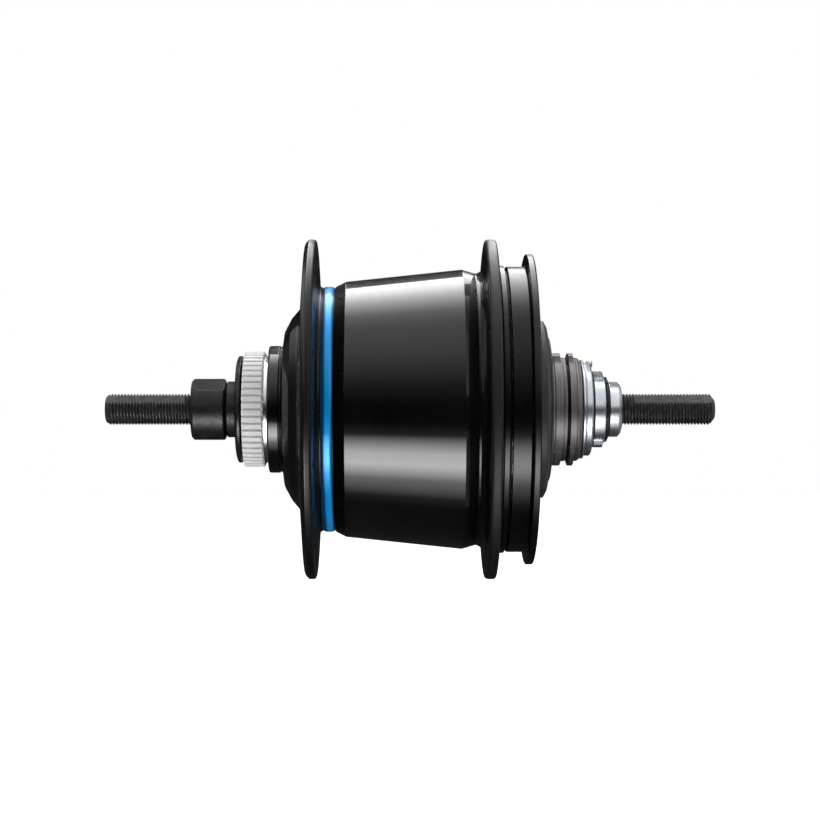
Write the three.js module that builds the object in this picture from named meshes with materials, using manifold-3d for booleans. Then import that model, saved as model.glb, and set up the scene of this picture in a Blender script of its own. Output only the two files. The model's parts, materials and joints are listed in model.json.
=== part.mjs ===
// Geared rear bicycle hub, in millimetres.
// The axle runs along X, +X is the drive side, +Z is up, and the origin is the middle of the axle.
// Angles around the axle are measured from +Y towards +Z.
import * as THREE from 'three';
import { mergeVertices } from 'three/addons/utils/BufferGeometryUtils.js';
import Module from 'manifold-3d';

const wasm = await Module();
wasm.setup();

// ---- driving dimensions -------------------------------------------------------------------

const GAP = 0.3;                 // clearance between neighbouring pieces
const BIG_SEGMENTS = 28;         // facets round the shell
const MID_SEGMENTS = 20;         // facets round the covers and the bearing parts
const SMALL_SEGMENTS = 16;       // facets round the axle and the nuts

const AXLE_LENGTH = 187;
const AXLE_END = AXLE_LENGTH / 2;
const THREAD_RADIUS = 4.75;      // 3/8 inch axle thread
const THREAD_BORE = THREAD_RADIUS + GAP;
const CORE_RADIUS = 5.3;         // plain middle of the axle, under the shift sleeve
const SHOULDER_RADIUS = 6.0;     // stop behind the left cone
const SEAT_RADIUS = 8.0;         // collar that carries the output sun gear
const AXLE_FLAT = 3.94;          // height of the anti-turn flats above the axis
const AXLE_FLAT_ANGLE = 125;
const NUT_FLAT = 8.5;            // height of the left nut's spanner flats
const NUT_FLAT_ANGLE = 116;

const FLANGE_RADIUS = 52.1;
const SPOKE_CIRCLE = 46.3;
const SPOKE_HOLE = 1.35;
const SPOKES_PER_FLANGE = 18;
const LEFT_FLANGE = [-31.9, -28.6];
const RIGHT_FLANGE = [22.75, 26.05];

const SPLINE_TEETH = 52;
const SPLINE_RADIUS = 17.72;
const SPLINE_ROOT = 16.75;

// Gear train: one module and one centre distance serve both stages.
const MODULE = 1.4;
const ADDENDUM = 0.86 * MODULE;
const DEDENDUM = 1.15 * MODULE;
const BACKLASH = 0.28;           // taken off each tooth at the pitch circle
const PLANETS = 3;
const OUTPUT_SUN_TEETH = 18;
const OUTPUT_PLANET_TEETH = 12;
const OUTPUT_RING_TEETH = 42;
const FREE_SUN_TEETH = 21;
const FREE_PLANET_TEETH = 9;
const INPUT_SUN_TEETH = 20;
const INPUT_PLANET_TEETH = 10;
const INPUT_RING_TEETH = 40;
const PLANET_CIRCLE = MODULE * (OUTPUT_SUN_TEETH + OUTPUT_PLANET_TEETH) / 2;
const OUTPUT_STAGE = [-20, -12];
const FREE_STAGE = [-10, -3];
const INPUT_STAGE = [4, 12];
const PIN_RADIUS = 2.5;
const PIN_SIDES = 10;
const ROLLERS = 10;

const SLEEVE_INNER = CORE_RADIUS + GAP;
const SLEEVE_OUTER = 6.6;
const SUN_BORE = SLEEVE_OUTER + GAP;
const SLEEVE_TRAVEL = 100;       // degrees between the first and the last gear
const LEG_ANGLE = 22;            // width of each leg of the shift sleeve
const SLOT_MARGIN = 3;
const SLOT_ANGLE = SLEEVE_TRAVEL + LEG_ANGLE + 2 * SLOT_MARGIN;

// Ball bearings: [x of the ball centres, ball circle radius, ball radius, number of balls]
const LEFT_BEARING = [-48, 10.6, 2.38, 9];
const SHELL_BEARING = [27, 35.2, 2, 13];
const DRIVER_BEARING = [48.5, 10.6, 2.38, 9];

// ---- materials ----------------------------------------------------------------------------

const finish = (color, roughness, metalness) =>
  new THREE.MeshStandardMaterial({ color, roughness, metalness });
const GLOSS_BLACK = finish(0x0c0c0e, 0.15, 0.3);
const SATIN_BLACK = finish(0x1e1e20, 0.4, 0.3);
const PHOSPHATE = finish(0x3a3a3a, 0.6, 0.7);
const BRIGHT_ALLOY = finish(0xd8d9db, 0.25, 1.0);
const BLUE_METAL = finish(0x1889c4, 0.25, 0.8);
const DRIVER_STEEL = finish(0x6a6566, 0.4, 1.0);
const ZINC = finish(0xc9ced6, 0.25, 1.0);
const GEAR_STEEL = finish(0x8d8f94, 0.35, 1.0);
const BEARING_STEEL = finish(0xb9bcc1, 0.2, 1.0);

// ---- solids -------------------------------------------------------------------------------

const radians = THREE.MathUtils.degToRad;
const AXIS_X = new THREE.Vector3(1, 0, 0);
const AXIS_Y = new THREE.Vector3(0, 1, 0);
const AXIS_Z = new THREE.Vector3(0, 0, 1);
const LATHE_TO_AXLE = new THREE.Matrix4().makeBasis(AXIS_Z, AXIS_X, AXIS_Y);
const SHAPE_TO_AXLE = new THREE.Matrix4().makeBasis(AXIS_Y, AXIS_Z, AXIS_X);

function signedVolume(corners, triangles) {
  let volume = 0;
  const a = new THREE.Vector3();
  const b = new THREE.Vector3();
  const c = new THREE.Vector3();
  for (let i = 0; i < triangles.length; i += 3) {
    a.fromArray(corners, 3 * triangles[i]);
    b.fromArray(corners, 3 * triangles[i + 1]);
    c.fromArray(corners, 3 * triangles[i + 2]);
    volume += a.dot(b.cross(c)) / 6;
  }
  return volume;
}

// Turns any closed three.js geometry into a solid that can be joined and cut.
function solidOf(geometry) {
  const bare = geometry.clone();
  bare.deleteAttribute('normal');
  bare.deleteAttribute('uv');
  const merged = mergeVertices(bare, 1e-4);
  const corners = new Float32Array(merged.attributes.position.array);
  const triangles = [];
  for (let i = 0; i < merged.index.count; i += 3) {
    const [a, b, c] = [0, 1, 2].map((k) => merged.index.getX(i + k));
    if (a !== b && b !== c && c !== a) triangles.push(a, b, c);
  }
  if (signedVolume(corners, triangles) < 0) triangles.reverse();
  const mesh = { numProp: 3, vertProperties: corners, triVerts: new Uint32Array(triangles) };
  return new wasm.Manifold(new wasm.Mesh(mesh));
}

function geometryOf(solid) {
  const mesh = solid.getMesh();
  const geometry = new THREE.BufferGeometry();
  geometry.setAttribute('position', new THREE.BufferAttribute(mesh.vertProperties, 3));
  geometry.setIndex(new THREE.BufferAttribute(mesh.triVerts, 1));
  geometry.computeVertexNormals();
  return geometry;
}

// A solid of revolution about the axle. The profile is a list of [x, radius] corners, which
// either starts and ends on the axis or closes on itself.
function turned(profile, segments) {
  const points = profile.map(([x, radius]) => new THREE.Vector2(radius, x));
  if (profile[0][1] > 0) points.push(points[0].clone());
  return solidOf(new THREE.LatheGeometry(points, segments).applyMatrix4(LATHE_TO_AXLE));
}

// A tube between two stations, with an optional chamfer on its outer edges.
function tube([start, end], inner, outer, segments, chamfer = 0) {
  if (chamfer === 0) {
    return turned([[start, inner], [start, outer], [end, outer], [end, inner]], segments);
  }
  return turned([
    [start, inner], [start, outer - chamfer], [start + chamfer, outer],
    [end - chamfer, outer], [end, outer - chamfer], [end, inner],
  ], segments);
}

// A flat shape in the YZ plane, extruded along the axle between two stations.
function extruded(shape, [start, end], curveSegments = 8) {
  const options = { depth: end - start, bevelEnabled: false, curveSegments };
  const geometry = new THREE.ExtrudeGeometry(shape, options).applyMatrix4(SHAPE_TO_AXLE);
  return solidOf(geometry.translate(start, 0, 0));
}

// A slab that stands out from the axle at an angle, used to cut and to join.
function block([start, end], [low, high], width, angle) {
  const box = new THREE.BoxGeometry(end - start, high - low, width);
  box.translate((start + end) / 2, (low + high) / 2, 0);
  return solidOf(box.applyMatrix4(new THREE.Matrix4().makeRotationX(radians(angle))));
}

// A ring sector between two angles in degrees.
function sector(span, inner, outer, from, to) {
  const shape = new THREE.Shape();
  shape.absarc(0, 0, outer, radians(from), radians(to), false);
  shape.absarc(0, 0, inner, radians(to), radians(from), true);
  shape.closePath();
  return extruded(shape, span, Math.ceil((to - from) / 12));
}

function polygon(radius, sides) {
  return Array.from({ length: sides }, (_, i) => {
    const angle = 2 * Math.PI * i / sides;
    return new THREE.Vector2(radius * Math.cos(angle), radius * Math.sin(angle));
  });
}

// A flat shape with an outline and one hole, both given as lists of points.
function ringShape(outline, hole) {
  const shape = new THREE.Shape(outline);
  shape.holes.push(new THREE.Path(hole));
  return shape;
}

const joined = (solids) => solids.reduce((whole, solid) => whole.add(solid));
const cut = (whole, solids) => solids.reduce((rest, solid) => rest.subtract(solid), whole);

// Two parallel flats, cut at the same height on both sides of the axle.
function flats(solid, span, height, reach, angle) {
  return cut(solid, [0, 180].map((turn) =>
    block(span, [height, reach + 1], 3 * reach, angle + turn)));
}

// ---- gear teeth ---------------------------------------------------------------------------

const involute = (pressure) => Math.tan(pressure) - pressure;
const PRESSURE = radians(20);

// Half the angle that a tooth takes up at a given radius.
function halfTooth(teeth, radius, thinning) {
  const pitch = MODULE * teeth / 2;
  const base = pitch * Math.cos(PRESSURE);
  const pressure = radius > base ? Math.acos(base / radius) : 0;
  const atPitch = (Math.PI * MODULE / 2 - thinning) / (2 * pitch);
  return Math.max(atPitch + involute(PRESSURE) - involute(pressure), 0.02);
}

// Corner points of a gear outline with one tooth centred on angle 0.
function toothPoints(teeth, root, tip, thinning) {
  const points = [];
  for (let i = 0; i < teeth; i += 1) {
    const centre = 2 * Math.PI * i / teeth;
    const atRoot = halfTooth(teeth, root, thinning);
    const atTip = halfTooth(teeth, tip, thinning);
    for (const [radius, angle] of [[root, -atRoot], [tip, -atTip], [tip, atTip], [root, atRoot]]) {
      const turn = centre + angle;
      points.push(new THREE.Vector2(radius * Math.cos(turn), radius * Math.sin(turn)));
    }
  }
  return points;
}

function spurGear(teeth, bore, span, sides = SMALL_SEGMENTS) {
  const pitch = MODULE * teeth / 2;
  const outline = toothPoints(teeth, pitch - DEDENDUM, pitch + ADDENDUM, BACKLASH);
  return extruded(ringShape(outline, polygon(bore, sides)), span);
}

// A ring with inner teeth and one gap centred on angle 0.
function ringGear(teeth, outer, span) {
  const pitch = MODULE * teeth / 2;
  const gaps = toothPoints(teeth, pitch - ADDENDUM, pitch + DEDENDUM, -BACKLASH);
  return extruded(ringShape(polygon(outer, MID_SEGMENTS), gaps), span);
}

// Phases that put every pair of gears in mesh at rest, with a sun tooth on angle 0.
const fraction = (value) => value - Math.floor(value);
const toothPitch = (teeth) => 2 * Math.PI / teeth;

function planetPhase(arm, sunTeeth, planetTeeth) {
  const offset = fraction(arm / toothPitch(sunTeeth));
  return arm + Math.PI + (offset + 0.5) * toothPitch(planetTeeth);
}

function ringPhase(arm, planetAngle, planetTeeth, ringTeeth) {
  const offset = fraction((arm - planetAngle) / toothPitch(planetTeeth));
  return arm - offset * toothPitch(ringTeeth);
}

function sunPhase(arm, planetAngle, planetTeeth, sunTeeth) {
  const offset = fraction((arm + Math.PI - planetAngle) / toothPitch(planetTeeth));
  return arm + (offset + 0.5) * toothPitch(sunTeeth);
}

const planetArms = Array.from({ length: PLANETS }, (_, i) => Math.PI / 2 + i * toothPitch(PLANETS));

// ---- axle and what is fixed on it ---------------------------------------------------------

const hub = new THREE.Group();

function place(name, solid, material) {
  const mesh = new THREE.Mesh(geometryOf(solid), material);
  mesh.name = name;
  hub.add(mesh);
  return mesh;
}

const OUTPUT_PAWL_ANGLES = [20, 200];
const INPUT_PAWL_ANGLES = [110, 290];
const PAWL_WIDTH = 2.4;
const OUTPUT_PAWL = { span: [-18.5, -13.5], foot: 5.6, tip: 9.2 };
const INPUT_PAWL = { span: [5.5, 10.5], foot: 3.4, tip: 7.9 };

function pawlPocket(pawl, angle) {
  const span = [pawl.span[0] - GAP, pawl.span[1] + GAP];
  return block(span, [pawl.foot - GAP, SEAT_RADIUS + 1], PAWL_WIDTH + 2 * GAP, angle);
}

function axle() {
  const blank = turned([
    [-AXLE_END, 0], [-AXLE_END, 3.3], [-AXLE_END + 0.4, 4.3], [-AXLE_END + 1, THREAD_RADIUS],
    [-45.2, THREAD_RADIUS], [-45.2, SHOULDER_RADIUS], [OUTPUT_STAGE[0] - 0.4, SHOULDER_RADIUS],
    [OUTPUT_STAGE[0] - 0.4, SEAT_RADIUS], [-11.4, SEAT_RADIUS], [-11.4, CORE_RADIUS],
    [59.6, CORE_RADIUS], [59.6, THREAD_RADIUS], [AXLE_END - 1.5, THREAD_RADIUS],
    [AXLE_END, 2.9], [AXLE_END, 0],
  ], SMALL_SEGMENTS);
  const left = flats(blank, [-AXLE_END - 1, -69], AXLE_FLAT, THREAD_RADIUS, AXLE_FLAT_ANGLE);
  const both = flats(left, [68.8, AXLE_END + 1], AXLE_FLAT, THREAD_RADIUS, AXLE_FLAT_ANGLE);
  return cut(both, [
    ...OUTPUT_PAWL_ANGLES.map((angle) => pawlPocket(OUTPUT_PAWL, angle)),
    ...INPUT_PAWL_ANGLES.map((angle) => pawlPocket(INPUT_PAWL, angle)),
  ]);
}

function leftLocknut() {
  const blank = turned([
    [-66.9, THREAD_BORE], [-66.9, 8.6], [-66.1, 9.4], [-56.7, 9.4], [-56.3, 9.0],
    [-56.3, THREAD_BORE],
  ], SMALL_SEGMENTS);
  return flats(blank, [-64.7, -56], NUT_FLAT, 9.4, NUT_FLAT_ANGLE);
}

function leftCone() {
  return turned([
    [-56.2, THREAD_BORE], [-56.2, 8.6], [-53.1, 8.6], [-53.1, 7.4], [-51.2, 7.4], [-51.2, 9.9],
    [-50.5, 9.9], [-49.7, 8.6], [-48.2, 7.9], [-45.5, 7.5], [-45.5, THREAD_BORE],
  ], SMALL_SEGMENTS);
}

function leftDustCap() {
  return turned([
    [-53.0, 8.9], [-53.0, 14.8], [-52.5, 16.4], [-51.4, 16.4], [-51.4, 7.7], [-52.7, 7.7],
    [-52.7, 8.9],
  ], MID_SEGMENTS);
}

// A bore with ratchet notches that the pawls lock into.
function ratchetBore(gear, span, reach) {
  const notches = [20, 80, 140].map((angle) =>
    block([span[0] - 1, span[1] + 1], [-reach, reach], PAWL_WIDTH + 2 * GAP, angle));
  return cut(gear, notches);
}

function outputSun() {
  const gear = spurGear(OUTPUT_SUN_TEETH, SEAT_RADIUS + GAP, OUTPUT_STAGE);
  return ratchetBore(gear, OUTPUT_STAGE, OUTPUT_PAWL.tip + GAP);
}

function inputSun() {
  const gear = spurGear(INPUT_SUN_TEETH, SUN_BORE, INPUT_STAGE);
  const notches = INPUT_PAWL_ANGLES.map((angle) => block(
    [INPUT_STAGE[0] - 1, INPUT_STAGE[1] + 1], [0, INPUT_PAWL.tip + GAP],
    PAWL_WIDTH + 2 * GAP, angle));
  return cut(gear, notches);
}

// A pawl with a rounded heel and a tip that is bevelled on its free-running side.
function pawl({ span, foot, tip }, angle) {
  const half = PAWL_WIDTH / 2;
  const shape = new THREE.Shape();
  shape.moveTo(foot, -half * 0.5);
  shape.lineTo(foot + 0.5, -half);
  shape.lineTo(tip, -half);
  shape.lineTo(tip - 0.8, half);
  shape.lineTo(foot + 0.5, half);
  shape.lineTo(foot, half * 0.5);
  shape.closePath();
  const solid = extruded(shape, span);
  return solid.rotate([angle, 0, 0]);
}

const SLOT_START = 90 - LEG_ANGLE / 2 - SLOT_MARGIN;

function rightCone() {
  const blank = turned([
    [45, SLEEVE_INNER], [45, 7.6], [48.3, 8.0], [50.2, 8.7], [51.2, 10.0], [51.9, 10.2],
    [53.6, 10.2], [53.6, 7.9], [55.7, 7.9], [55.7, SLEEVE_INNER],
  ], SMALL_SEGMENTS);
  const slots = [0, 180].map((turn) => sector(
    [44, 57], CORE_RADIUS, SUN_BORE, SLOT_START + turn, SLOT_START + turn + SLOT_ANGLE));
  return cut(blank, slots);
}

// The plate that anchors the return spring: its rim is turned back towards the driver, and a
// small hook stands up from it.
function springPlate() {
  const plate = turned([
    [53.9, 8.2], [53.9, 13.4], [53.1, 13.8], [53.1, 14.85], [53.6, 14.85], [53.7, 14.3],
    [55.1, 14.3], [55.4, 14.0], [55.4, 8.2],
  ], MID_SEGMENTS);
  const hook = block([54.2, 56.1], [13.2, 15.0], 1.6, 90);
  return joined([plate, hook]);
}

function returnSpring() {
  const turns = 3;
  const steps = 36;
  const points = [];
  for (let i = 0; i <= steps; i += 1) {
    const angle = 2 * Math.PI * turns * i / steps;
    points.push(new THREE.Vector3(33 + 9 * i / steps, 9 * Math.cos(angle), 9 * Math.sin(angle)));
  }
  const wire = new THREE.Shape(polygon(0.6, 4));
  const extrudePath = new THREE.CatmullRomCurve3(points);
  return solidOf(new THREE.ExtrudeGeometry(wire, { steps, extrudePath, bevelEnabled: false }));
}

function rightLocknut() {
  return turned([
    [61.1, THREAD_BORE], [61.1, 8.1], [61.4, 8.45], [64.0, 8.45], [64.8, 6.5],
    [64.8, THREAD_BORE],
  ], SMALL_SEGMENTS);
}

place('axle', axle(), PHOSPHATE);
place('left_locknut', leftLocknut(), SATIN_BLACK);
place('left_cone', leftCone(), SATIN_BLACK);
place('left_dust_cap', leftDustCap(), SATIN_BLACK);
place('output_sun_gear', outputSun(), GEAR_STEEL);
place('input_sun_gear', inputSun(), GEAR_STEEL);
OUTPUT_PAWL_ANGLES.forEach((angle, i) =>
  place(`output_sun_pawl_${i + 1}`, pawl(OUTPUT_PAWL, angle), GEAR_STEEL));
INPUT_PAWL_ANGLES.forEach((angle, i) =>
  place(`input_sun_pawl_${i + 1}`, pawl(INPUT_PAWL, angle), GEAR_STEEL));
place('thrust_washer', tube([-2.6, -1.4], SUN_BORE, 11, SMALL_SEGMENTS), GEAR_STEEL);
place('right_cone', rightCone(), GEAR_STEEL);
place('spring_plate', springPlate(), ZINC);
place('return_spring', returnSpring(), GEAR_STEEL);
place('lock_washer', tube([59.75, 60.9], THREAD_BORE, 10.2, SMALL_SEGMENTS, 0.3), SATIN_BLACK);
place('right_locknut', rightLocknut(), ZINC);

// ---- shift sleeve -------------------------------------------------------------------------

function shiftSleeve() {
  const body = tube([-10.8, 44.6], SLEEVE_INNER, SLEEVE_OUTER, SMALL_SEGMENTS);
  const collar = tube([56.1, 59.4], SLEEVE_INNER, 10.6, MID_SEGMENTS, 0.3);
  const legs = [90, 270].map((angle) => sector(
    [44.2, 56.6], SLEEVE_INNER, SLEEVE_OUTER, angle - LEG_ANGLE / 2, angle + LEG_ANGLE / 2));
  const tabs = [90, 270].map((angle) =>
    sector([56.1, 58.9], 9.5, 11.7, angle - 24, angle + 24));
  const windowMargin = 8 + Math.asin(PAWL_WIDTH / 2 / SLEEVE_INNER) * 180 / Math.PI;
  const windows = INPUT_PAWL_ANGLES.map((angle) => sector(
    [INPUT_PAWL.span[0] - 0.5, INPUT_PAWL.span[1] + 0.5], CORE_RADIUS, SUN_BORE,
    angle - SLEEVE_TRAVEL - windowMargin, angle + windowMargin));
  return cut(joined([body, collar, ...legs, ...tabs]), windows);
}

place('shift_sleeve', shiftSleeve(), ZINC);

// ---- ball retainers -----------------------------------------------------------------------

// One cage with its balls, held together as the retainer that is fitted on the bench.
function ballRetainer([x, circle, ballRadius, count]) {
  const cage = tube([x - 0.6, x + 0.6], circle - 0.5, circle + 0.5, MID_SEGMENTS);
  const balls = Array.from({ length: count }, (_, i) => {
    const angle = 2 * Math.PI * (i + 0.5) / count;
    const ball = new THREE.SphereGeometry(ballRadius, 6, 3);
    return solidOf(ball.translate(x, circle * Math.cos(angle), circle * Math.sin(angle)));
  });
  return joined([cage, ...balls]);
}

place('left_ball_retainer', ballRetainer(LEFT_BEARING), BEARING_STEEL);
place('shell_ball_retainer', ballRetainer(SHELL_BEARING), BEARING_STEEL);
place('driver_ball_retainer', ballRetainer(DRIVER_BEARING), BEARING_STEEL);

// ---- hub shell and what turns with it -----------------------------------------------------

function spokeHoles([start, end], phase) {
  return Array.from({ length: SPOKES_PER_FLANGE }, (_, i) => {
    const angle = 2 * Math.PI * (i + phase) / SPOKES_PER_FLANGE;
    const drill = new THREE.CylinderGeometry(SPOKE_HOLE, SPOKE_HOLE, end - start + 2, 6);
    drill.rotateZ(Math.PI / 2);
    drill.translate((start + end) / 2, SPOKE_CIRCLE * Math.cos(angle), SPOKE_CIRCLE * Math.sin(angle));
    return solidOf(drill);
  });
}

function hubShell() {
  const outside = [
    [-42.8, 15.8], [-42.8, 18.0], [-43.1, 18.0], [-43.1, 19.5], [-39, 19.5], [-38.2, 24],
    [-36.15, 28], [-33.4, 31.2],
    [LEFT_FLANGE[0], 51.0], [-30.7, FLANGE_RADIUS], [LEFT_FLANGE[1], FLANGE_RADIUS],
    [-27.7, 37.6], [-26.8, 37.6], [-26.8, 36.4], [-22.7, 36.4], [-22.7, 37.6], [-19.5, 39.2],
    [15.8, 42.9], [20.2, 41.6], [RIGHT_FLANGE[0], 43.5], [RIGHT_FLANGE[0], FLANGE_RADIUS],
    [RIGHT_FLANGE[1], FLANGE_RADIUS], [RIGHT_FLANGE[1], 44.1], [28.7, 44.1],
  ];
  const inside = [[28.7, 39.2], [14, 39.2], [12, 35], [-26, 34.6], [-33.4, 25], [-33.4, 15.8]];
  const blank = turned([...outside, ...inside], BIG_SEGMENTS);
  return cut(blank, [...spokeHoles([-34, -27], 0), ...spokeHoles(RIGHT_FLANGE, 0.5)]);
}

function trimRing() {
  const ring = tube([-26.6, -22.9], 36.7, 37.6, BIG_SEGMENTS);
  return ring.subtract(block([-27, -22], [36, 38], 0.8, 0));
}

// Splined seat for a brake rotor, with the neck and the spigot that is pressed into the shell.
function rotorMount() {
  const bore = polygon(14.6, MID_SEGMENTS);
  const splines = extruded(ringShape(splinePoints(), bore), [-50.75, -44.3]);
  const neck = turned([
    [-44.8, 14.6], [-44.8, 16.4], [-43.2, 16.4], [-43.2, 15.5], [-34, 15.5], [-34, 13.2],
    [-43.8, 13.2], [-43.8, 14.6],
  ], MID_SEGMENTS);
  return splines.add(neck);
}

// Wide spline teeth with narrow grooves between them.
function splinePoints() {
  const points = [];
  for (let i = 0; i < SPLINE_TEETH; i += 1) {
    const centre = 2 * Math.PI * i / SPLINE_TEETH;
    const half = Math.PI / SPLINE_TEETH;
    const corners = [[SPLINE_RADIUS, -0.7], [SPLINE_RADIUS, 0.7], [SPLINE_ROOT, 1]];
    for (const [radius, share] of corners) {
      const turn = centre + share * half;
      points.push(new THREE.Vector2(radius * Math.cos(turn), radius * Math.sin(turn)));
    }
  }
  return points;
}

function leftBallCup() {
  return turned([
    [-50.4, 14.3], [-44.4, 14.3], [-44.4, 10.6], [-45.2, 10.6], [-45.6, 11.3], [-46.4, 12.7],
    [-48, 13.3], [-50.4, 13.3],
  ], MID_SEGMENTS);
}

function rightBallCup() {
  return turned([
    [21, 38.9], [29, 38.9], [29, 42.3], [31.5, 42.3], [31.5, 37.5], [27, 37.5], [25.4, 36.9],
    [24.2, 35], [21, 35],
  ], BIG_SEGMENTS);
}

function rightDustCap() {
  return turned([
    [29.2, 42.6], [29.2, 43.8], [35.2, 43.8], [35.2, 47.6], [37.4, 47.6], [37.4, 21],
    [35.2, 21], [35.2, 42.6],
  ], BIG_SEGMENTS);
}

function outputRing() {
  const teeth = ringGear(OUTPUT_RING_TEETH, 32.6, OUTPUT_STAGE);
  return teeth.add(tube([-12.2, -2.5], 31.6, 32.2, MID_SEGMENTS));
}

// One-way clutch between the output ring gear and the shell: a cage full of rollers.
function rollerClutch() {
  const rollers = Array.from({ length: ROLLERS }, (_, i) => {
    const angle = 2 * Math.PI * i / ROLLERS;
    const roller = new THREE.CylinderGeometry(1.1, 1.1, 7, 6).rotateZ(Math.PI / 2);
    return solidOf(roller.translate(-7, 33.5 * Math.cos(angle), 33.5 * Math.sin(angle)));
  });
  const ends = [-11, -4].map((x) => tube([x, x + 1], 32.9, 34, MID_SEGMENTS));
  return joined([...ends, ...rollers]);
}

place('hub_shell', hubShell(), GLOSS_BLACK);
place('trim_ring', trimRing(), BLUE_METAL);
place('rotor_mount', rotorMount(), BRIGHT_ALLOY);
place('left_ball_cup', leftBallCup(), BEARING_STEEL);
place('right_ball_cup', rightBallCup(), BEARING_STEEL);
place('right_dust_cap', rightDustCap(), GLOSS_BLACK);
place('roller_clutch', rollerClutch(), BEARING_STEEL);

// ---- driver and what turns with it --------------------------------------------------------

function driver() {
  const blank = turned([
    [4, 31.4], [4, 32.9], [27.5, 32.9], [28.7, 33.5], [29.9, 36.4], [32.2, 36.4],
    [32.2, 19], [38, 19], [38, 17.5], [43.9, 17.5], [43.9, 15.95], [47.3, 15.95],
    [47.3, 14.9], [48.3, 14.9], [48.3, 15.9], [51.8, 15.5], [52.8, 14.7], [52.8, 13.4],
    [48.5, 13.3], [46.9, 12.7], [45.6, 10.6], [44.6, 10.6], [44.6, 12], [28.9, 12],
    [28.9, 29.9], [12.3, 29.9], [12.3, 31.4],
  ], BIG_SEGMENTS);
  const lugs = [80, 260].flatMap((angle) => [[43.9, 45.8], [48, 49.7]].map((span) =>
    sector(span, 14.5, 17.3, angle - 33, angle + 33)));
  return joined([blank, ...lugs]);
}

function inputRing() {
  return ringGear(INPUT_RING_TEETH, 31.1, INPUT_STAGE);
}

function outerSealPlate() {
  return turned([
    [38.3, 17.8], [38.3, 27.2], [40.8, 27.2], [41.7, 25.3], [41.7, 17.8],
  ], MID_SEGMENTS);
}

function innerSealPlate() {
  return turned([
    [42, 17.8], [42, 22.1], [43.2, 22.1], [43.8, 19.1], [43.8, 17.8],
  ], MID_SEGMENTS);
}

place('driver', driver(), DRIVER_STEEL);
place('outer_seal_plate', outerSealPlate(), SATIN_BLACK);
place('inner_seal_plate', innerSealPlate(), SATIN_BLACK);

// ---- planet carrier and planets -----------------------------------------------------------

const CARRIER_PLATES = [[-25, -22.5], [-1, 1.8], [13.8, 16.5]];

function atArm(arm, radius) {
  return [0, radius * Math.cos(arm), radius * Math.sin(arm)];
}

function planetCarrier() {
  const bores = [SHOULDER_RADIUS + GAP, SUN_BORE, SUN_BORE];
  const plates = CARRIER_PLATES.map((span, i) => tube(span, bores[i], 27, MID_SEGMENTS));
  const pillars = planetArms.map((arm) => {
    const pillar = new THREE.CylinderGeometry(3.6, 3.6, 41.1, 6).rotateZ(Math.PI / 2);
    return solidOf(pillar.translate(-4.3, 0, 0)).translate(atArm(arm + Math.PI / 3, 22.5));
  });
  const holes = planetArms.map((arm) => {
    const drill = new THREE.CylinderGeometry(PIN_RADIUS + GAP, PIN_RADIUS + GAP, 50, PIN_SIDES);
    return solidOf(drill.rotateZ(Math.PI / 2)).translate(atArm(arm, PLANET_CIRCLE));
  });
  return cut(joined([...plates, ...pillars]), holes);
}

function planetPin() {
  return turned([
    [-26.3, 0], [-26.3, 3.4], [-25.3, 3.4], [-25.3, PIN_RADIUS], [17, PIN_RADIUS], [17, 0],
  ], PIN_SIDES);
}

function steppedPlanet() {
  const large = spurGear(OUTPUT_PLANET_TEETH, PIN_RADIUS + GAP, OUTPUT_STAGE, PIN_SIDES);
  const small = spurGear(FREE_PLANET_TEETH, PIN_RADIUS + GAP, FREE_STAGE, PIN_SIDES);
  const waist = tube([-12.4, -9.6], PIN_RADIUS + GAP, 4.2, PIN_SIDES);
  return joined([large, small, waist]);
}

function inputPlanet() {
  return spurGear(INPUT_PLANET_TEETH, PIN_RADIUS + GAP, INPUT_STAGE, PIN_SIDES);
}

place('planet_carrier', planetCarrier(), GEAR_STEEL);
planetArms.forEach((arm, i) => {
  const pin = place(`planet_pin_${i + 1}`, planetPin(), BEARING_STEEL);
  pin.position.set(...atArm(arm, PLANET_CIRCLE));
  const output = place(`stepped_planet_${i + 1}`, steppedPlanet(), GEAR_STEEL);
  output.position.copy(pin.position);
  output.rotation.x = planetPhase(arm, OUTPUT_SUN_TEETH, OUTPUT_PLANET_TEETH);
  const input = place(`input_planet_${i + 1}`, inputPlanet(), GEAR_STEEL);
  input.position.copy(pin.position);
  input.rotation.x = planetPhase(arm, INPUT_SUN_TEETH, INPUT_PLANET_TEETH);
});

// The rings and the free sun take their phases from the first planet.
const firstArm = planetArms[0];
const outputPlanetAngle = planetPhase(firstArm, OUTPUT_SUN_TEETH, OUTPUT_PLANET_TEETH);
const inputPlanetAngle = planetPhase(firstArm, INPUT_SUN_TEETH, INPUT_PLANET_TEETH);

place('output_ring_gear', outputRing(), GEAR_STEEL).rotation.x =
  ringPhase(firstArm, outputPlanetAngle, OUTPUT_PLANET_TEETH, OUTPUT_RING_TEETH);
place('input_ring_gear', inputRing(), GEAR_STEEL).rotation.x =
  ringPhase(firstArm, inputPlanetAngle, INPUT_PLANET_TEETH, INPUT_RING_TEETH);
place('free_sun_gear', spurGear(FREE_SUN_TEETH, SUN_BORE, FREE_STAGE), GEAR_STEEL).rotation.x =
  sunPhase(firstArm, outputPlanetAngle, FREE_PLANET_TEETH, FREE_SUN_TEETH);

export default hub;
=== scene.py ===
"""Looks of a geared bicycle hub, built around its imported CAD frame.

Lengths in the profiles are millimetres: x along the axle (+x is the drive side), then the radius,
then the fillet at that corner. Angles go round the axle from +Y towards +Z.
"""
import json
import math

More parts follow.
